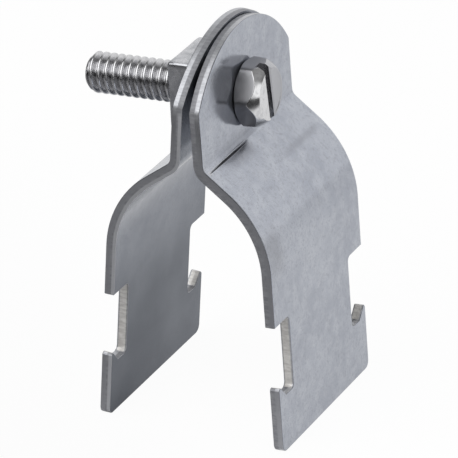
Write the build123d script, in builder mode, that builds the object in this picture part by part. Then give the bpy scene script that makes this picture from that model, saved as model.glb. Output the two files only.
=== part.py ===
from build123d import *
import os
from math import cos, radians, sin

# Strut pipe clamp: two halves pressed from the same steel strap stand splayed on
# their feet, their ears leaning together at the top. A slotted hex screw passes
# through both ears into a square nut, and the notched feet hook under a strut's lips.
# Millimetres, +Z up. Y runs along the pipe. X = 0 is the plane between the halves.
# The origin is on the centre line of the pipe that the clamp is made for.

# Strap that both halves are pressed from
strap_width = 31.75
sheet = 1.61
pipe_diameter = 29.54

# Side view of a half, measured from the centre of its screw hole
ear_rise = 10.9
ear_drop = 5.9
bend_radius = 1.5
shoulder_angle = 50.0
shoulder_flat = 4.5
leg_drop = 51.2

# Outline of a half, seen along the screw
ear_side_rise = 2.38
screw_hole_diameter = 7.94
notch_depth = 5.025
notch_drop = 30.7
hook_drop = 40.7
pocket_depth = 1.75
hook_tip_width = 0.6
hook_root_width = 2.3
hook_corner = 0.3
neck_corner_radius = 0.8
foot_corner_radius = 1.2

# How the loose halves stand: the ears touch at the top, and the screw hangs in its holes
head_half_lean = 4.5
nut_half_lean = 2.6
ear_top_gap = 0.1
screw_droop = 3.6
screw_sag = 0.3
seat_play = 0.08

# Screw
thread_diameter = 6.35
screw_length = 25.7
tip_chamfer = 0.9
head_across_flats = 9.525
head_height = 3.97
head_corner_trim = 0.2
head_corner_round = 1.3
bearing_inset = 0.12
bearing_bevel = 0.45
slot_width = 1.6
slot_depth = 1.7
slot_turn = 7.5

# Square nut
nut_across_flats = 10.9
nut_thickness = 4.76
nut_bore_clearance = 0.05
nut_corner_radius = 0.8
nut_face_chamfer = 0.3

# How near two lengths must be to count as the same
snap = 0.001

# Places that follow from the sizes: from the ear's inner face and the hole to the pipe and the leg
turn = radians(shoulder_angle)
pipe_arc_drop = (
    ear_drop
    + (bend_radius + sheet) * sin(turn)
    + shoulder_flat * cos(turn)
    + pipe_diameter / 2 * sin(turn)
)
leg_offset = (
    (bend_radius + sheet) * (1 - cos(turn))
    + shoulder_flat * sin(turn)
    + pipe_diameter / 2 * (1 - cos(turn))
)


def hole_height(lean):
    """Height of a leaning half's screw hole above the surface that the feet stand on."""
    return leg_drop * cos(radians(lean)) - leg_offset * sin(radians(lean))


feet_height = pipe_arc_drop - (hole_height(head_half_lean) + hole_height(nut_half_lean)) / 2


def hole_centre(side, lean):
    """Centre of a half's screw hole on the ear's inner face; side is +1 or -1 along X."""
    hole_offset = ear_top_gap / 2 + ear_rise * sin(radians(lean))
    return Vector(side * hole_offset, 0, feet_height + hole_height(lean))


def outward(side, lean):
    """Direction in which a half's ear faces outwards."""
    return Vector(side * cos(radians(lean)), 0, sin(radians(lean)))


screw_plane = Plane(
    origin=(0, 0, pipe_arc_drop - screw_sag),
    x_dir=(0, 1, 0),
    z_dir=(cos(radians(screw_droop)), 0, sin(radians(screw_droop))),
)


def seat_distance(side, lean, reach):
    """Distance along the screw at which a flat face of this half-height clears a leaning ear."""
    ear_normal = outward(side, lean)
    ear_face = (hole_centre(side, lean) - screw_plane.origin).dot(ear_normal) + sheet
    tilt = radians(ear_normal.get_angle(screw_plane.z_dir * side))
    return (ear_face + reach * sin(tilt)) / cos(tilt) + seat_play


def pressed_half(side, lean):
    """One half: flat ear, bend, sloping shoulder, pipe arc and leg, with its outline cut out."""
    section_plane = Plane(hole_centre(side, lean), x_dir=outward(side, lean), z_dir=(0, -side, 0))
    outline_plane = Plane(hole_centre(side, lean), x_dir=(0, side, 0), z_dir=outward(side, lean))
    half_width = strap_width / 2
    neck_half_width = half_width - notch_depth
    pocket_drop = hook_drop + pocket_depth
    with BuildPart() as half:
        with BuildSketch(section_plane):
            with BuildLine():
                ear = Line((0, ear_rise), (0, -ear_drop))
                bend = JernArc(ear @ 1, ear % 1, bend_radius + sheet, shoulder_angle)
                shoulder = PolarLine(bend @ 1, shoulder_flat, direction=bend % 1)
                saddle = JernArc(shoulder @ 1, shoulder % 1, pipe_diameter / 2, -shoulder_angle)
                Line(saddle @ 1, ((saddle @ 1).X, -leg_drop))
                offset(amount=sheet, side=Side.LEFT)
            make_face()
        extrude(amount=half_width, both=True)
        with BuildSketch(outline_plane) as outline:
            with BuildLine():
                TangentArc((0, ear_rise), (half_width, ear_side_rise), tangent=(1, 0))
                Polyline(
                    (half_width, ear_side_rise),
                    (half_width, -notch_drop),
                    (neck_half_width, -notch_drop),
                    (neck_half_width, -pocket_drop),
                    (half_width - hook_root_width, -pocket_drop),
                    (half_width - hook_tip_width, -hook_drop),
                    (half_width - hook_corner, -hook_drop),
                    (half_width, -hook_drop - hook_corner),
                    (half_width, -leg_drop),
                    (0, -leg_drop),
                )
                mirror(about=Plane.YZ)
            make_face()
            fillet(outline.vertices().group_by(Axis.Y)[0], foot_corner_radius)
            neck_corners = [v for v in outline.vertices() if abs(abs(v.X) - neck_half_width) < snap]
            fillet(neck_corners, neck_corner_radius)
            Circle(screw_hole_diameter / 2, mode=Mode.SUBTRACT)
        extrude(amount=leg_drop, mode=Mode.INTERSECT)
    return half


head_side_half = pressed_half(1, head_half_lean)
head_side_half.part.label = "head_side_half"

nut_side_half = pressed_half(-1, nut_half_lean)
nut_side_half.part.label = "nut_side_half"

# Screw: hex head with trimmed and rounded corners, a bevel under them and a driver slot,
# on a shank with a chamfered tip
head_seat = seat_distance(1, head_half_lean, head_across_flats / 2)
head_corner_reach = head_across_flats / 2 / cos(radians(30)) - head_corner_trim
bearing_radius = head_across_flats / 2 - bearing_inset
with BuildPart() as clamp_screw:
    with BuildSketch(screw_plane.offset(head_seat)):
        RegularPolygon(head_across_flats / 2, 6, major_radius=False)
    extrude(amount=head_height)
    with BuildSketch(Plane(screw_plane.origin, x_dir=screw_plane.x_dir, z_dir=-screw_plane.y_dir)):
        with BuildLine():
            Polyline(
                (head_corner_reach, head_seat + head_height - head_corner_round),
                (head_corner_reach, head_seat + bearing_bevel),
                (bearing_radius, head_seat),
                (0, head_seat),
                (0, head_seat + head_height),
                (head_corner_reach - head_corner_round, head_seat + head_height),
            )
            RadiusArc(
                (head_corner_reach - head_corner_round, head_seat + head_height),
                (head_corner_reach, head_seat + head_height - head_corner_round),
                head_corner_round,
            )
        make_face()
    revolve(axis=Axis(screw_plane.origin, screw_plane.z_dir), mode=Mode.INTERSECT)
    with BuildSketch(screw_plane.offset(head_seat + head_height)):
        Rectangle(slot_width, 2 * head_across_flats, rotation=slot_turn)
    extrude(amount=-slot_depth, mode=Mode.SUBTRACT)
    with BuildSketch(screw_plane.offset(head_seat)):
        Circle(thread_diameter / 2)
    extrude(amount=-screw_length)
    tip = clamp_screw.faces().sort_by(Axis(screw_plane.origin, screw_plane.z_dir))[0]
    chamfer(tip.edges(), tip_chamfer)
clamp_screw.part.label = "clamp_screw"

# Square nut: its lower flat sits just above the bend, which keeps it from turning
nut_seat = seat_distance(-1, nut_half_lean, nut_across_flats / 2)
with BuildPart() as square_nut:
    with BuildSketch(screw_plane.offset(-nut_seat)):
        RectangleRounded(nut_across_flats, nut_across_flats, nut_corner_radius)
        Circle(thread_diameter / 2 + nut_bore_clearance, mode=Mode.SUBTRACT)
    extrude(amount=-nut_thickness)
    outer_face = square_nut.faces().sort_by(Axis(screw_plane.origin, screw_plane.z_dir))[0]
    chamfer(outer_face.outer_wire().edges(), nut_face_chamfer)
square_nut.part.label = "square_nut"

os.makedirs("parts", exist_ok=True)
export_step(head_side_half.part, "parts/head_side_half.step")
export_step(nut_side_half.part, "parts/nut_side_half.step")
export_step(clamp_screw.part, "parts/clamp_screw.step")
export_step(square_nut.part, "parts/square_nut.step")
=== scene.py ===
import math

import bpy
from mathutils import Matrix, Vector
from mathutils.geometry import tessellate_polygon


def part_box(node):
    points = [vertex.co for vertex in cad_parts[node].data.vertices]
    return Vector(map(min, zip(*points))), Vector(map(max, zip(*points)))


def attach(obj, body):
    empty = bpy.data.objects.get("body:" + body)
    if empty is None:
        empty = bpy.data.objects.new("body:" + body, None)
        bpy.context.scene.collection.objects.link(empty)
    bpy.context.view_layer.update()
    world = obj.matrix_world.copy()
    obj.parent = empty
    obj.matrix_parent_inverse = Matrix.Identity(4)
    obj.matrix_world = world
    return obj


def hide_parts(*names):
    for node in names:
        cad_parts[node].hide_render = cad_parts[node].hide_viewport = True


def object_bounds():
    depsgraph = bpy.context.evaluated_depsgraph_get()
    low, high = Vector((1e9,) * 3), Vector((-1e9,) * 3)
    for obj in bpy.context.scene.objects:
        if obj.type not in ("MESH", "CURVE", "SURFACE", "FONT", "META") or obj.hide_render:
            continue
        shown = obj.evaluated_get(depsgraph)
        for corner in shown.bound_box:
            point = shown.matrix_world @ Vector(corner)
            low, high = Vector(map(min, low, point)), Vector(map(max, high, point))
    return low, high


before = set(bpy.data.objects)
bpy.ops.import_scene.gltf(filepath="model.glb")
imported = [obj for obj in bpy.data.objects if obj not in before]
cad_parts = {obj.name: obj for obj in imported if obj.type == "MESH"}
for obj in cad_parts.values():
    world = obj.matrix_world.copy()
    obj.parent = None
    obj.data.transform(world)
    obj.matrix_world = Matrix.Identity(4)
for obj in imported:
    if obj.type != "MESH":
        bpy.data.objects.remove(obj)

cad_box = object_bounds()

# The two strap halves: 16 gauge steel strip, blanked from the outer face, which leaves that
# face's outline rolled over and the inner face's outline sharp, then bent and zinc plated.
# Each is laid out flat as its blank, and every point is then carried round the bends.
MM = 0.001
half_width = 15.875
sheet = 1.61
ear_rise = 10.9
ear_drop = 5.9
ear_top_radius = 19.05
screw_hole_radius = 3.97
shoulder_angle = math.radians(50.0)
bend_radius = 1.5
bend_length = (bend_radius + sheet) * shoulder_angle
shoulder_flat = 4.5
pipe_radius = 14.77
pipe_arc_length = pipe_radius * shoulder_angle
leg_start = ear_drop + bend_length + shoulder_flat + pipe_arc_length
leg_drop = 51.2
neck_half_width = 10.85
notch_drop = 30.7
hook_drop = 40.7
pocket_drop = 42.45
hook_tip_width = 0.6
hook_root_width = 2.3
hook_corner = 0.3
neck_corner_radius = 0.8
foot_corner_radius = 1.2
ear_top_gap = 0.1
head_half_lean = 4.5
nut_half_lean = 2.6

# How many steps each curve is drawn in, and the angle from which an edge shows as sharp
ear_arc_steps = 48
corner_steps = 8
bend_steps = 12
pipe_arc_steps = 20
hole_steps = 64
sharp_edge = math.radians(35)

# Edge of the blank from the outer face to the inner face: how far in from the outline,
# how far from the inner face, and how much of a cut face it is (1 burnished, 2 torn).
cut_edge = (
    (0.30, sheet, 0.0),
    (0.20, sheet, 0.0),
    (0.12, sheet - 0.006, 0.0),
    (0.06, sheet - 0.025, 0.1),
    (0.02, sheet - 0.070, 0.6),
    (0.00, sheet - 0.150, 1.0),
    (0.00, 0.85, 1.0),
    (0.01, 0.75, 2.0),
    (0.02, 0.10, 2.0),
    (0.04, 0.03, 1.6),
    (0.08, 0.00, 0.6),
    (0.15, 0.00, 0.0),
)


def bent(along, depth):
    """Carry a point of the blank round the bends: outward and up from the screw hole."""
    if along < 0:
        return depth, -along
    x, z, heading = 0.0, 0.0, 0.0
    bends = (
        (ear_drop, 0.0),
        (bend_length, shoulder_angle),
        (shoulder_flat, 0.0),
        (pipe_arc_length, -shoulder_angle),
        (leg_drop, 0.0),
    )
    for length, turn in bends:
        step = min(along, length)
        along -= step
        if turn:
            after = heading + turn * step / length
            x += length / turn * (math.cos(heading) - math.cos(after))
            z += length / turn * (math.sin(heading) - math.sin(after))
            heading = after
        else:
            x += step * math.sin(heading)
            z -= step * math.cos(heading)
    return x + depth * math.cos(heading), z + depth * math.sin(heading)


leg_offset = bent(leg_start, 0.0)[0]
leg_start_drop = -bent(leg_start, 0.0)[1]


def arc_points(centre, radius, start, end, steps):
    """Points on an arc of the blank, from one angle to another, both in degrees."""
    angles = [math.radians(start + (end - start) * i / steps) for i in range(steps + 1)]
    return [(centre[0] + radius * math.cos(a), centre[1] + radius * math.sin(a)) for a in angles]


def blank_outline():
    """Outline of the blank and the places along it where the strap is bent."""
    before_bend, beside_arc = 0.3, 0.5
    rows = [ear_drop - before_bend]
    rows += [ear_drop + bend_length * i / bend_steps for i in range(bend_steps + 1)]
    arc_start = ear_drop + bend_length + shoulder_flat
    rows += [arc_start - beside_arc]
    rows += [arc_start + pipe_arc_length * i / pipe_arc_steps for i in range(pipe_arc_steps + 1)]
    rows += [leg_start + beside_arc]
    leg = leg_start - leg_start_drop
    corner_angle = math.degrees(math.asin(half_width / ear_top_radius))
    ear_centre = (0.0, ear_top_radius - ear_rise)
    top = arc_points(ear_centre, ear_top_radius, -90 - corner_angle, -90 + corner_angle, ear_arc_steps)
    side = [(half_width, row) for row in rows]
    side += [(half_width, leg + notch_drop)]
    neck_y = neck_half_width + neck_corner_radius
    neck_top = (neck_y, leg + notch_drop + neck_corner_radius)
    side += arc_points(neck_top, neck_corner_radius, -90, -180, corner_steps)
    neck_low = (neck_y, leg + pocket_drop - neck_corner_radius)
    side += arc_points(neck_low, neck_corner_radius, -180, -270, corner_steps)
    side += [
        (half_width - hook_root_width, leg + pocket_drop),
        (half_width - hook_tip_width, leg + hook_drop),
        (half_width - hook_corner, leg + hook_drop),
        (half_width, leg + hook_drop + hook_corner),
    ]
    foot = (half_width - foot_corner_radius, leg + leg_drop - foot_corner_radius)
    side += arc_points(foot, foot_corner_radius, 0, 90, corner_steps)
    return top + side + [(-y, a) for y, a in reversed(side)], rows


def inset(loop, distance):
    """Move a closed outline inwards, keeping its points."""
    moved = []
    for i, (y, a) in enumerate(loop):
        before, after = loop[i - 1], loop[(i + 1) % len(loop)]
        first = Vector((y - before[0], a - before[1])).normalized()
        second = Vector((after[0] - y, after[1] - a)).normalized()
        mitre = Vector((-first.y - second.y, first.x + second.x))
        mitre *= distance / (1 + first.dot(second))
        moved.append((y + mitre.x, a + mitre.y))
    return moved


def stand(name, data):
    """Put a new object into the scene."""
    item = bpy.data.objects.new(name, data)
    bpy.context.scene.collection.objects.link(item)
    return item


def skin(name, places, faces):
    """Put a new smooth skin into the scene, from its corners and faces."""
    mesh = bpy.data.meshes.new(name)
    mesh.from_pydata(places, [], faces)
    mesh.shade_smooth()
    return stand(name, mesh)


def strap_half(name, node, body, side, lean_degrees):
    """Build one half of the clamp where its CAD node is."""
    lean = math.radians(lean_degrees)
    outward = Vector((side * math.cos(lean), 0, math.sin(lean)))
    upward = Vector((-side * math.sin(lean), 0, math.cos(lean)))
    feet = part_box(node)[0].z / MM
    hole_height = leg_drop * math.cos(lean) - leg_offset * math.sin(lean)
    hole = Vector((side * (ear_top_gap / 2 + ear_rise * math.sin(lean)), 0, feet + hole_height))
    outline, rows = blank_outline()
    count = len(outline)
    places, blanks, cuts, faces = [], [], [], []
    for inward, depth, cut in cut_edge:
        ring = inset(outline, inward)
        ring += arc_points((0, 0), screw_hole_radius + inward, 0, 360, hole_steps)[:-1]
        for y, along in ring:
            x, z = bent(along, depth)
            places.append((hole + x * outward + z * upward + Vector((0, side * y, 0))) * MM)
            blanks += [y, along, depth]
            cuts.append(cut)
    ring_size = count + hole_steps
    for k in range(len(cut_edge) - 1):
        for first, size in ((0, count), (count, hole_steps)):
            for i in range(size):
                a = k * ring_size + first + i
                b = k * ring_size + first + (i + 1) % size
                face = (a, a + ring_size, b + ring_size, b)
                faces.append(face if first == 0 else face[::-1])
    top_count = ear_arc_steps + 1
    for layer, flip in ((0, False), (len(cut_edge) - 1, True)):
        base = layer * ring_size
        near = [base + top_count + i for i in range(len(rows))]
        far = [base + count - 1 - i for i in range(len(rows))]
        sheets = [(near[i], near[i + 1], far[i + 1], far[i]) for i in range(len(rows) - 1)]
        ear_loop = [far[0]] + list(range(base, base + top_count)) + [near[0]]
        hole_loop = list(range(base + count, base + ring_size))
        leg_loop = list(range(near[-1], far[-1] + 1))
        flat = {i: Vector((places[i].y, places[i].z)) for i in ear_loop + hole_loop + leg_loop}
        for loops in ((ear_loop, hole_loop), (leg_loop,)):
            joined = [i for loop in loops for i in loop]
            for triangle in tessellate_polygon([[flat[i] for i in loop] for loop in loops]):
                corners = [joined[i] for i in triangle]
                a, b, c = (flat[i] for i in corners)
                if ((b - a).cross(c - a) * side > 0) == flip:
                    corners.reverse()
                sheets.append(tuple(corners))
        for face in sheets[:len(rows) - 1]:
            faces.append(face[::-1] if flip else face)
        faces += sheets[len(rows) - 1:]
    piece = skin(name, places, faces)
    cut_layer = piece.data.attributes.new("cut", "FLOAT", "POINT")
    cut_layer.data.foreach_set("value", cuts)
    blank_layer = piece.data.attributes.new("blank", "FLOAT_VECTOR", "POINT")
    blank_layer.data.foreach_set("vector", blanks)
    piece.data.set_sharp_from_angle(angle=sharp_edge)
    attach(piece, body)
    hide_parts(node)
    return piece


class Wire:
    """A shader socket, on which arithmetic adds Math nodes."""

    def __init__(self, tree, socket=None):
        self.tree = tree
        self.socket = socket

    def node(self, kind, settings, inputs, output=0):
        """Add a node, its settings first, then the values or wires of its sockets."""
        node = self.tree.nodes.new(kind)
        for name, value in settings.items():
            setattr(node, name, value)
        self.feed(node, inputs)
        return Wire(self.tree, node.outputs[output])

    def feed(self, node, inputs):
        """Join wires to a node's sockets, or set their values."""
        for name, value in inputs.items():
            if isinstance(value, Wire):
                self.tree.links.new(value.socket, node.inputs[name])
            else:
                node.inputs[name].default_value = value

    def output(self, name):
        """Another output of the node that this wire comes from."""
        return Wire(self.tree, self.socket.node.outputs[name])

    def calc(self, operation, first, second=0.0):
        """Add a Math node."""
        return self.node("ShaderNodeMath", {"operation": operation}, {0: first, 1: second})

    def __add__(self, other):
        return self.calc("ADD", self, other)

    __radd__ = __add__

    def __sub__(self, other):
        return self.calc("SUBTRACT", self, other)

    def __rsub__(self, other):
        return self.calc("SUBTRACT", other, self)

    def __mul__(self, other):
        return self.calc("MULTIPLY", self, other)

    __rmul__ = __mul__

    def size(self):
        """The value without its sign."""
        return self.calc("ABSOLUTE", self)

    def step(self, low, high):
        """Rise smoothly from 0 at the low value to 1 at the high one."""
        inputs = {"Value": self, "From Min": low, "From Max": high}
        return self.node("ShaderNodeMapRange", {"interpolation_type": "SMOOTHSTEP"}, inputs)

    def fall(self, low, high):
        """Fall smoothly from 1 at the low value to 0 at the high one."""
        return 1.0 - self.step(low, high)

    def near(self, middle, low, high):
        """Fall smoothly from 1 to 0 on both sides of a value."""
        return (self - middle).size().fall(low, high)

    def tint(self, low, high):
        """Mix two colours by this value."""
        pair = [c if isinstance(c, Wire) else (*c, 1) for c in (low, high)]
        settings = {"data_type": "RGBA"}
        return self.node("ShaderNodeMix", settings, {0: self, 6: pair[0], 7: pair[1]}, 2)

    def noise(self, place, scale, detail=3.0, stretch=(1.0, 1.0, 1.0)):
        """Noise with this many waves to the millimetre, its axes scaled by the stretch."""
        in_mm = tuple(s / MM for s in stretch)
        where = self.node("ShaderNodeVectorMath", {"operation": "MULTIPLY"}, {0: place, 1: in_mm})
        inputs = {"Vector": where, "Scale": scale, "Detail": detail}
        return self.node("ShaderNodeTexNoise", {}, inputs)


def new_finish(name):
    """A new material, its shader, the wire that its nodes start from, and the place in metres."""
    material = bpy.data.materials.new(name)
    material.use_nodes = True
    shader = material.node_tree.nodes["Principled BSDF"]
    wire = Wire(material.node_tree)
    place = wire.node("ShaderNodeTexCoord", {}, {}, "Object")
    return material, shader, wire, place


# The finish is drawn on the flat blank, in millimetres: across the strap, along it from the
# screw hole, and up in its thickness from the inner face
plated, shader, wire, place = new_finish("plated_strap")
cut = wire.node("ShaderNodeAttribute", {"attribute_name": "cut"}, {}, "Fac")
blank = wire.node("ShaderNodeAttribute", {"attribute_name": "blank"}, {}, "Vector")
across = wire.node("ShaderNodeSeparateXYZ", {}, {0: blank}, "X")
along = across.output("Y")
depth = across.output("Z")
outer = depth.step(1.2, 1.5)
inner = depth.fall(0.4, 1.2)
burnished = cut.step(0.2, 0.9)
torn = cut.step(1.2, 1.8)
cloud = wire.noise(place, 0.10, 5.0)
patchy = wire.noise(place, 0.45, 4.0)
grain = wire.noise(place, 2.0, 3.0)
fine = wire.noise(place, 6.0, 2.0)
shear = wire.noise(place, 3.0, 3.0, (0.3, 1.0, 1.0))

# The bending tool left a crease in the outer face beside the bend, on one half of its width,
# with a ridge above it and a dent at its outer end. The crease is painted near black as painted
# shade, and the ridge and the dent get a painted highlight
crease_along = 8.85
from_crease = along - crease_along
crease_length = across.step(-15.3, -14.2) * across.fall(-3.4, -1.4)
crease_width = 0.10 + 0.14 * across.step(-14.0, -9.0) * across.fall(-6.5, -2.5)
crease = outer * crease_length * from_crease.size().fall(crease_width * 0.4, crease_width)
ridge = outer * crease_length * from_crease.near(-0.30, 0.05, 0.20)
dent = across.near(-15.0, 0.1, 0.7) * from_crease.near(-0.1, 0.1, 0.6)
ridge = ridge.calc("MAXIMUM", ridge, outer * dent)

# Painted shadow beside the crease and in the bend, and the zinc darker in a line across the foot
# of the shoulder and in one spot on the pipe arc
crease_shadow = across.step(-12.5, -6.0) * across.fall(-3.5, -1.0) * from_crease.step(0.0, 0.1)
crease_shadow = outer * crease_shadow * from_crease.fall(0.3, 3.0)
bend_shadow = across.step(-13.0, -7.0) * across.fall(-1.0, 5.0) * along.step(3.5, 7.5)
bend_shadow = outer * bend_shadow * (from_crease + 0.35).fall(-0.2, 0.1)
shoulder_line = across.step(-3.0, 7.0) * across.fall(12.0, 15.0)
shoulder_line = outer * shoulder_line * along.near(14.0, 0.1, 0.9)
dark_spot = across.near(-13.5, 0.5, 4.0) * along.near(23.5, 1.0, 5.0)

# The faces: mottled zinc, with painted shade on the inner face, darkest down its leg
face = cloud.step(0.3, 0.7).tint((0.41, 0.435, 0.495), (0.50, 0.525, 0.585))
face = (patchy.step(0.35, 0.75) * 0.65).tint(face, (0.575, 0.60, 0.655))
face = (grain.step(0.48, 0.72) * 0.45).tint(face, (0.33, 0.34, 0.38))
face = (fine.step(0.60, 0.78) * 0.20).tint(face, (0.62, 0.63, 0.66))
# Painted shade: the inner face is darkened, more down its leg, for the shadowed paper it mirrors
painted_inner_shade = inner * (0.56 + 0.46 * along.step(22.0, 42.0) - 0.10 * along.step(44.0, 50.0))
face = painted_inner_shade.tint(face, cloud.step(0.3, 0.7).tint((0.105, 0.118, 0.145), (0.155, 0.17, 0.20)))
painted_shadow_colour = (0.14, 0.145, 0.17)
face = (shoulder_line * 0.3).tint(face, (0.20, 0.205, 0.23))
# Painted shadow beside the crease and in the bend
face = (crease_shadow * 0.70).tint(face, painted_shadow_colour)
face = (bend_shadow * 0.40).tint(face, painted_shadow_colour)
face = (outer * dark_spot * 0.30).tint(face, (0.20, 0.20, 0.21))
# Painted highlight on the ridge and the dent, and painted shade as a near black line in the crease
face = (ridge * 0.5).tint(face, (0.72, 0.72, 0.74))
face = (crease * 0.95).tint(face, (0.015, 0.015, 0.02))

# The cut edges: burnished near the outer face and torn below it, the long straight ones duller,
# one of them with a painted highlight along its inner margin, and the walls of the neck nearly white
walls = shear.step(0.3, 0.7)
torn_walls = walls.tint((0.29, 0.295, 0.32), (0.41, 0.415, 0.44))
smooth_walls = walls.tint((0.46, 0.47, 0.50), (0.60, 0.61, 0.64))
straight = (across.size() - 15.7).step(-0.1, 0.1) * along.step(-2.0, -1.0)
smooth_walls = (straight * 0.8).tint(smooth_walls, (0.34, 0.345, 0.37))
inner_margin_highlight = across.step(15.6, 15.8) * along.step(-2.0, -1.0) * depth.fall(0.45, 0.6)
colour = torn.tint(burnished.tint(face, smooth_walls), torn_walls)
# Painted highlight along the inner margin of one long wall
colour = (burnished * inner_margin_highlight * 0.8).tint(colour, (0.62, 0.63, 0.66))
neck = burnished * across.size().fall(15.3, 15.6) * along.step(34.4, 35.0)
neck = neck * along.fall(45.85, 45.95) * depth.step(0.08, 0.3) * depth.fall(1.25, 1.45)
colour = neck.tint(colour, walls.tint((0.72, 0.70, 0.67), (0.95, 0.93, 0.90)))
# Painted shade: a dark line along the rolled-over outline of the outer face
lip = cut.step(0.05, 0.2) * cut.fall(0.5, 0.9) * outer
colour = (lip * 0.6).tint(colour, (0.10, 0.105, 0.12))
gloss = 0.12 + 0.05 * grain.step(0.3, 0.7) + 0.05 * cloud.step(0.35, 0.65)
relief = grain * 0.4 + fine * 0.3 + patchy * 0.5 + shear * torn * 1.5 - crease * 3.0 + ridge
bump = wire.node("ShaderNodeBump", {}, {"Strength": 0.3, "Distance": 0.00003, "Height": relief})
wire.feed(shader, {
    "Base Color": colour,
    "Roughness": gloss + 0.20 * torn + 0.16 * burnished,
    "Metallic": 0.78 - 0.15 * burnished - 0.20 * torn - 0.42 * neck,
    "Normal": bump,
})
for half in (
    strap_half("head_side_strap", "head_side_half", "head_side", 1, head_half_lean),
    strap_half("nut_side_strap", "nut_side_half", "nut_side", -1, nut_half_lean),
):
    half.data.materials.append(plated)

# The clamp screw: a 1/4-20 steel machine screw with a cold headed hex, its corners trimmed round and
# its end chamfered, dished and slotted. The thread is rolled right up to the head, and its zinc is
# brighter than the straps'. It hangs through both ears into the nut, a little nose down.
droop = math.radians(3.6)
screw_axis = Vector((math.cos(droop), 0, math.sin(droop)))
screw_across = Vector((0, 1, 0))
screw_up = screw_axis.cross(screw_across)
screw_middle = Vector((0, 0, 22.1894))
head_seat = 2.6742
head_height = 3.97
head_top = head_seat + head_height
head_flat_reach = 4.7625
head_corner_reach = 5.2994
head_sharpness = 18.7
head_taper = 0.12
bearing_radius = 4.6425
bearing_bevel = 0.45
least_bevel = 0.02
end_inset = 1.3
end_radius = head_corner_reach - end_inset
chamfer_slope = 0.95
chamfer_curve = 0.35
slot_width = 1.6
slot_depth = 1.7
slot_mouth = 0.30
slot_turn = math.radians(7.5)
thread_radius = 3.175
thread_pitch = 1.27
thread_depth = 0.72
root_share = 0.14
flank_share = 0.64
flank_easing = 0.35
thread_in_head = 0.05
thread_sharp_edge = math.radians(50)
tip = -23.0258
tip_chamfer = 0.9


def on_screw(along, radius, angle):
    """A point beside the screw's axis, in metres."""
    beside = screw_across * math.cos(angle) + screw_up * math.sin(angle)
    return (screw_middle + screw_axis * along + beside * radius) * MM


def prism_reach(angle, flats, reach, sharpness, turned=0.0):
    """Distance from the axis to the side of a prism with slightly rounded corners."""
    turns = [angle - turned - 2 * math.pi * k / flats for k in range(flats)]
    total = sum(max(math.cos(t), 0.0) ** sharpness for t in turns)
    return reach / total ** (1 / sharpness)


def lathe(name, rings, closed):
    """Join rings of points of the same length into a skin, and close its ends if asked."""
    size = len(rings[0])
    places = [p for ring in rings for p in ring]
    faces = []
    for k in range(len(rings) - 1):
        for i in range(size):
            j = (i + 1) % size
            faces.append((k * size + i, k * size + j, (k + 1) * size + j, (k + 1) * size + i))
    if closed:
        faces.append(tuple(reversed(range(size))))
        faces.append(tuple(range((len(rings) - 1) * size, len(rings) * size)))
    return skin(name, places, faces)


def chamfer_drop(reach):
    """How far below its end the chamfer of the head lies, at this distance from the axis."""
    return (reach - end_radius) * (chamfer_slope + chamfer_curve * (reach - end_radius))


# Rings of the head: its bearing face (radius, lift), its bevel and sides (shares 0 to 1) and its
# chamfer (shares 1 to 2), and the dish in its end (how far in, how deep)
bearing_rings = ((bearing_radius - 0.4, 0.0), (bearing_radius - 0.05, 0.0), (bearing_radius, 0.012))
side_shares = (0.0, 0.02, 0.25, 0.5, 0.75, 0.96, 1.0, 1.03, 1.25, 1.5, 1.75, 1.97, 2.0)
dish_rings = ((0.03, 0.0), (0.20, 0.0), (0.24, 0.01), (0.42, 0.10), (0.47, 0.11))
head_steps = 192
head_angles = [2 * math.pi * (i + 0.5) / head_steps for i in range(head_steps)]
head_sides = [
    prism_reach(a, 6, head_flat_reach, head_sharpness, math.radians(30)) for a in head_angles
]
head_rings = []
for reach, lift in bearing_rings:
    head_rings.append([on_screw(head_seat + lift, reach, a) for a in head_angles])
for share in side_shares:
    ring = []
    for a, side in zip(head_angles, head_sides):
        bevel_share = (side - bearing_radius) / (head_corner_reach - bearing_radius)
        bevel_height = max(bearing_bevel * bevel_share, least_bevel)
        rim = side - head_taper
        if share <= 1:
            rim_height = head_height - chamfer_drop(rim)
            lift = bevel_height + (rim_height - bevel_height) * share
            ring.append(on_screw(head_seat + lift, side - head_taper * share, a))
        else:
            reach = rim + (end_radius - rim) * (share - 1)
            ring.append(on_screw(head_top - chamfer_drop(reach), reach, a))
    head_rings.append(ring)
for inward, dish in dish_rings:
    head_rings.append([on_screw(head_top - dish, end_radius - inward, a) for a in head_angles])
head = lathe("screw_head", head_rings, True)

# The slot is cut by a bar that is wider at its mouth and reaches past the head
bar_half_length = 8.0
bar_rise = 1.0
bar_rings = []
for level in (head_top - slot_depth, head_top - slot_mouth, head_top + bar_rise):
    bar_half_width = slot_width / 2 + max(level - head_top + slot_mouth, 0.0)
    ring = []
    for edge, tail in ((-1, -1), (1, -1), (1, 1), (-1, 1)):
        corner = Matrix.Rotation(slot_turn, 2) @ Vector((edge * bar_half_width, tail * bar_half_length))
        ring.append(on_screw(level, corner.length, math.atan2(corner.y, corner.x)))
    bar_rings.append(ring)
bar = lathe("slot_bar", bar_rings, True)
cut_slot = head.modifiers.new("slot", "BOOLEAN")
cut_slot.object = bar
cut_slot.solver = "EXACT"
graph = bpy.context.evaluated_depsgraph_get()
slotted = bpy.data.meshes.new_from_object(head.evaluated_get(graph))
head.modifiers.clear()
head.data = slotted
bpy.data.objects.remove(bar)
head.data.set_sharp_from_angle(angle=sharp_edge)

# Mark what the trimming die rubbed, the head's sides and underside (1), against its end (-1)
rubbed_reach = 4.2
rubbed_margin = 0.02
trims = []
for vertex in head.data.vertices:
    from_middle = vertex.co / MM - screw_middle
    lift = from_middle.dot(screw_axis)
    reach = (from_middle - lift * screw_axis).length
    on_side = reach > rubbed_reach and lift < head_top - chamfer_drop(reach) - rubbed_margin
    trims.append(1.0 if on_side else -1.0)
head.data.attributes.new("trim", "FLOAT", "POINT").data.foreach_set("value", trims)


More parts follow.
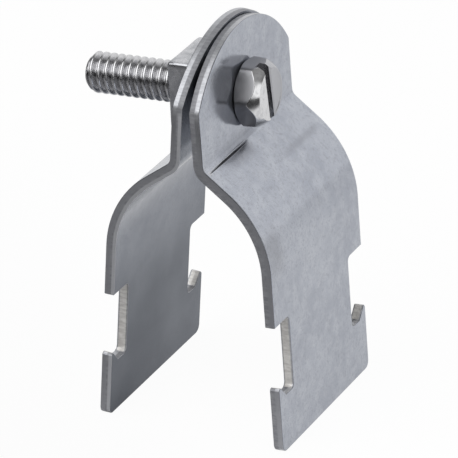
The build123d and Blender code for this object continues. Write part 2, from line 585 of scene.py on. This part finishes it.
def thread_radius_at(lift, turn):
    """Radius of the thread: rounded crest and root, and a chamfer that runs out at the tip."""
    ridge = 1 - abs((turn % 1.0) - 0.5) * 2
    ridge = min(max((ridge - root_share) / flank_share, 0.0), 1.0)
    eased = ridge * ridge * (3 - 2 * ridge)
    ridge = eased * flank_easing + ridge * (1 - flank_easing)
    radius = thread_radius - thread_depth * (1 - ridge)
    return min(radius, thread_radius - tip_chamfer + (lift - tip))


# The thread is one helical sheet: each row climbs one pitch in a turn and joins the row a pitch on
thread_columns = 72
rows_in_pitch = 16
spare_turns = 2.5
thread_rows = int((head_seat - tip) / thread_pitch + spare_turns) * rows_in_pitch
thread_places = []
roots = []
for j in range(thread_rows + 1):
    for i in range(thread_columns):
        turn = i / thread_columns
        lift = tip - thread_pitch + thread_pitch * (j / rows_in_pitch + turn)
        lift = min(max(lift, tip), head_seat + thread_in_head)
        radius = thread_radius_at(lift, j / rows_in_pitch)
        thread_places.append(on_screw(lift, radius, 2 * math.pi * turn))
        roots.append((thread_radius - radius) / thread_depth)
thread_faces = []
for j in range(thread_rows):
    row = j * thread_columns
    next_row = row + thread_columns
    for i in range(thread_columns - 1):
        thread_faces.append((row + i, row + i + 1, next_row + i + 1, next_row + i))
    if j + rows_in_pitch + 1 <= thread_rows:
        pitch_on = row + rows_in_pitch * thread_columns
        seam = (next_row - 1, pitch_on, pitch_on + thread_columns, next_row + thread_columns - 1)
        thread_faces.append(seam)
thread_faces.append(tuple(reversed(range(thread_columns))))
thread = skin("screw_thread", thread_places, thread_faces)
thread.data.attributes.new("root", "FLOAT", "POINT").data.foreach_set("value", roots)
thread.data.set_sharp_from_angle(angle=thread_sharp_edge)

# Bright zinc with fine streaks, with painted shade in the roots of the thread. The sides of the
# head are dull, and its end carries a painted highlight: brighter on the near side of the slot
# than past it
bright, shader, wire, place = new_finish("bright_plated_screw")
streak = wire.noise(place, 1.6, 3.0)
speck = wire.noise(place, 5.0, 2.0)
root = wire.node("ShaderNodeAttribute", {"attribute_name": "root"}, {}, "Fac")
trim = wire.node("ShaderNodeAttribute", {"attribute_name": "trim"}, {}, "Fac")
end = (-1.0 * trim).step(0.2, 0.9)
half_slot = slot_width / 2 * MM
past_slot = wire.node("ShaderNodeSeparateXYZ", {}, {0: place}, "Y").step(-half_slot, half_slot)
# Painted highlight: the end is brighter on the near side of the slot than past it
end_colour = past_slot.tint((0.76, 0.76, 0.77), (0.46, 0.465, 0.49))
end_colour = (streak.step(0.45, 0.70) * 0.35).tint(end_colour, (0.45, 0.45, 0.47))
colour = streak.step(0.3, 0.7).tint((0.60, 0.60, 0.62), (0.70, 0.70, 0.71))
colour = (speck.step(0.60, 0.8) * 0.3).tint(colour, (0.40, 0.40, 0.42))
colour = (trim * 0.9).tint(colour, (0.33, 0.33, 0.345))
colour = end.tint(colour, end_colour)
# Painted shade: the roots of the thread are darkened
colour = (root.step(0.45, 1.0) * 0.36).tint(colour, (0.10, 0.10, 0.105))
relief = (streak * 0.8 + speck * 0.3) * (1.0 - 0.7 * end)
bump = wire.node("ShaderNodeBump", {}, {"Strength": 0.15, "Distance": 0.00003, "Height": relief})
gloss = 0.15 + 0.10 * streak.step(0.3, 0.7) + 0.14 * trim.step(0.0, 1.0)
gloss = gloss + 0.04 * (1.0 - trim.size())
wire.feed(shader, {"Base Color": colour, "Roughness": gloss, "Metallic": 1.0, "Normal": bump})
for piece in (head, thread):
    piece.data.materials.clear()
    piece.data.materials.append(bright)
    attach(piece, "screw")
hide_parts("clamp_screw")

# The square nut: pressed from thick steel strip, tapped and zinc plated, with its outer face's
# edges chamfered. It sits behind the nut-side ear, its lower flat just above the bend, which
# keeps it from turning.
nut_half_width = 5.45
nut_sharpness = 26
nut_face = -2.8621
nut_thickness = 4.76
nut_bore_radius = 3.225
nut_lead_in = 0.35
lead_in_radius = nut_bore_radius + nut_lead_in
nut_steps = 160
nut_angles = [2 * math.pi * (i + 0.5) / nut_steps for i in range(nut_steps)]

# Rings of the nut: how far in from its sides, or else its radius, and how far behind the ear
nut_profile = (
    (None, nut_bore_radius, nut_lead_in),
    (None, lead_in_radius, 0.0),
    (0.30, None, 0.0),
    (0.10, None, 0.0),
    (0.03, None, 0.03),
    (0.00, None, 0.12),
    (0.00, None, 1.6),
    (0.00, None, 3.2),
    (0.00, None, nut_thickness - 0.42),
    (0.03, None, nut_thickness - 0.32),
    (0.30, None, nut_thickness - 0.03),
    (0.42, None, nut_thickness),
    (0.60, None, nut_thickness),
    (None, lead_in_radius, nut_thickness),
    (None, nut_bore_radius, nut_thickness - nut_lead_in),
)
nut_rings = []
for inward, radius, behind_ear in nut_profile:
    ring = []
    for a in nut_angles:
        reach = radius
        if radius is None:
            reach = prism_reach(a, 4, nut_half_width, nut_sharpness) - inward
        ring.append(on_screw(nut_face - behind_ear, reach, a))
    nut_rings.append(ring[::-1])
nut_rings.append(nut_rings[0])
nut = lathe("nut_body", nut_rings, False)
nut.data.set_sharp_from_angle(angle=sharp_edge)
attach(nut, "nut")
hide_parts("square_nut")

dull, shader, wire, place = new_finish("plated_nut")
patch = wire.noise(place, 0.5, 4.0)
speck = wire.noise(place, 4.0, 3.0)
colour = patch.step(0.35, 0.65).tint((0.42, 0.43, 0.455), (0.62, 0.625, 0.65))
colour = (speck.step(0.50, 0.70) * 0.35).tint(colour, (0.30, 0.305, 0.33))
relief = patch * 0.4 + speck * 0.6
bump = wire.node("ShaderNodeBump", {}, {"Strength": 0.4, "Distance": 0.00004, "Height": relief})
gloss = 0.24 + 0.14 * speck.step(0.3, 0.7)
wire.feed(shader, {"Base Color": colour, "Roughness": gloss, "Metallic": 1.0, "Normal": bump})
nut.data.materials.append(dull)

# The studio: white paper under the clamp and up behind it, and a large soft lamp up in front on
# the left. The rest of the room is dim but for two white cards, and a black patch of painted shade
# lies on the paper at the right in front: the bright screw mirrors them as bands.
floor_reach = 3.0
floor_height = cad_box[0].z
floor_corners = ((-1, -1), (1, -1), (1, 1), (-1, 1))
floor_places = [(x * floor_reach, y * floor_reach, floor_height) for x, y in floor_corners]
floor = skin("floor", floor_places, [(0, 1, 2, 3)])
paper, shader, wire, place = new_finish("white_paper")
floor_right = wire.node("ShaderNodeSeparateXYZ", {}, {0: place}, "X")
floor_back = floor_right.output("Y")

# The paper is white behind and on the right; in front it is painted grey on the left and black
# further in front, as painted shade for the metal to mirror. The camera itself sees it as pure white
lit_area = (floor_right + floor_back).step(-0.06, 0.015)
past_front = floor_back.step(-0.25, -0.13)
# Painted shade: a black patch on the paper at the right in front
painted_shade_patch = floor_right.step(0.02, 0.06) * floor_back.fall(-0.07, -0.03)
black = (0.02, 0.02, 0.02)
shade = past_front.tint(black, lit_area.tint((0.40, 0.40, 0.41), (0.82, 0.82, 0.83)))
shade = painted_shade_patch.tint(shade, black)
wire.feed(shader, {"Base Color": shade, "Roughness": 0.9})
camera_ray = wire.node("ShaderNodeLightPath", {}, {}, "Is Camera Ray")
mirrored = camera_ray.output("Is Glossy Ray")
through = camera_ray.output("Is Transmission Ray")
glow_share = camera_ray * 0.94 + mirrored * lit_area * (1.0 - painted_shade_patch) * 0.62 + through * 0.9
glow = wire.node("ShaderNodeEmission", {}, {"Color": (1, 1, 1, 1), "Strength": 1.02})
lit = Wire(wire.tree, shader.outputs[0])
mixed = wire.node("ShaderNodeMixShader", {}, {0: glow_share, 1: lit, 2: glow})
wire.feed(wire.tree.nodes["Material Output"], {"Surface": mixed})
floor.data.materials.append(paper)

world = bpy.data.worlds.new("studio")
world.use_nodes = True
bpy.context.scene.world = world
wire = Wire(world.node_tree)
direction = wire.node("ShaderNodeTexCoord", {}, {}, "Generated")
rightward = wire.node("ShaderNodeSeparateXYZ", {}, {0: direction}, "X")
backward = rightward.output("Y")
upward = rightward.output("Z")
backdrop = backward.step(0.42, 0.78)
ceiling = upward.step(0.60, 0.80)
right_wall = rightward.step(0.2, 0.6)
right_card = (rightward * 0.87 - backward * 0.42 + upward * 0.26).step(0.84, 0.96)
front_card = (upward * 0.49 - backward * 0.78 - rightward * 0.38).step(0.92, 0.98)
room = 0.02 + backdrop * 0.92 + right_card * 0.95 + front_card * 0.60
room = room + (1.0 - backdrop) * (ceiling * 0.20 + right_wall * 0.12)
camera_ray = wire.node("ShaderNodeLightPath", {}, {}, "Is Camera Ray")
strength = camera_ray + (1.0 - camera_ray) * room
wire.feed(world.node_tree.nodes["Background"], {"Strength": strength, "Color": (1, 1, 1, 1)})

lamp_data = bpy.data.lights.new("softbox", "AREA")
lamp_data.shape = "SQUARE"
lamp_data.size = 0.86
lamp_data.energy = 3.6
lamp_distance = 0.8
lamp = stand("softbox", lamp_data)
lamp.location = Vector((-0.32, -0.47, 0.80)).normalized() * lamp_distance
lamp.rotation_euler = lamp.location.to_track_quat("Z", "Y").to_euler()

# The camera stands in front on the right and looks down at the clamp, as in the photograph.
azimuth = math.radians(24.958)
elevation = math.radians(25.602)
roll = math.radians(0.139)
distance = 736.61
frame_width = 458
pixels_per_mm = 6.639
shift_right, shift_up = 1.124, 5.598
back = Vector((
    math.sin(azimuth) * math.cos(elevation),
    -math.cos(azimuth) * math.cos(elevation),
    math.sin(elevation),
))
level_right = Vector((math.cos(azimuth), math.sin(azimuth), 0))
level_up = back.cross(level_right)
right = math.cos(roll) * level_right + math.sin(roll) * level_up
up = -math.sin(roll) * level_right + math.cos(roll) * level_up
spot = distance * back - shift_right / pixels_per_mm * right - shift_up / pixels_per_mm * up
camera_data = bpy.data.cameras.new("camera")
camera_data.sensor_width = 36.0
camera_data.lens = pixels_per_mm * distance / frame_width * camera_data.sensor_width
camera = stand("camera", camera_data)
camera.matrix_world = Matrix((
    (right.x, up.x, back.x, spot.x * MM),
    (right.y, up.y, back.y, spot.y * MM),
    (right.z, up.z, back.z, spot.z * MM),
    (0, 0, 0, 1),
))
bpy.context.scene.camera = camera
bpy.context.scene.view_settings.view_transform = "Standard"
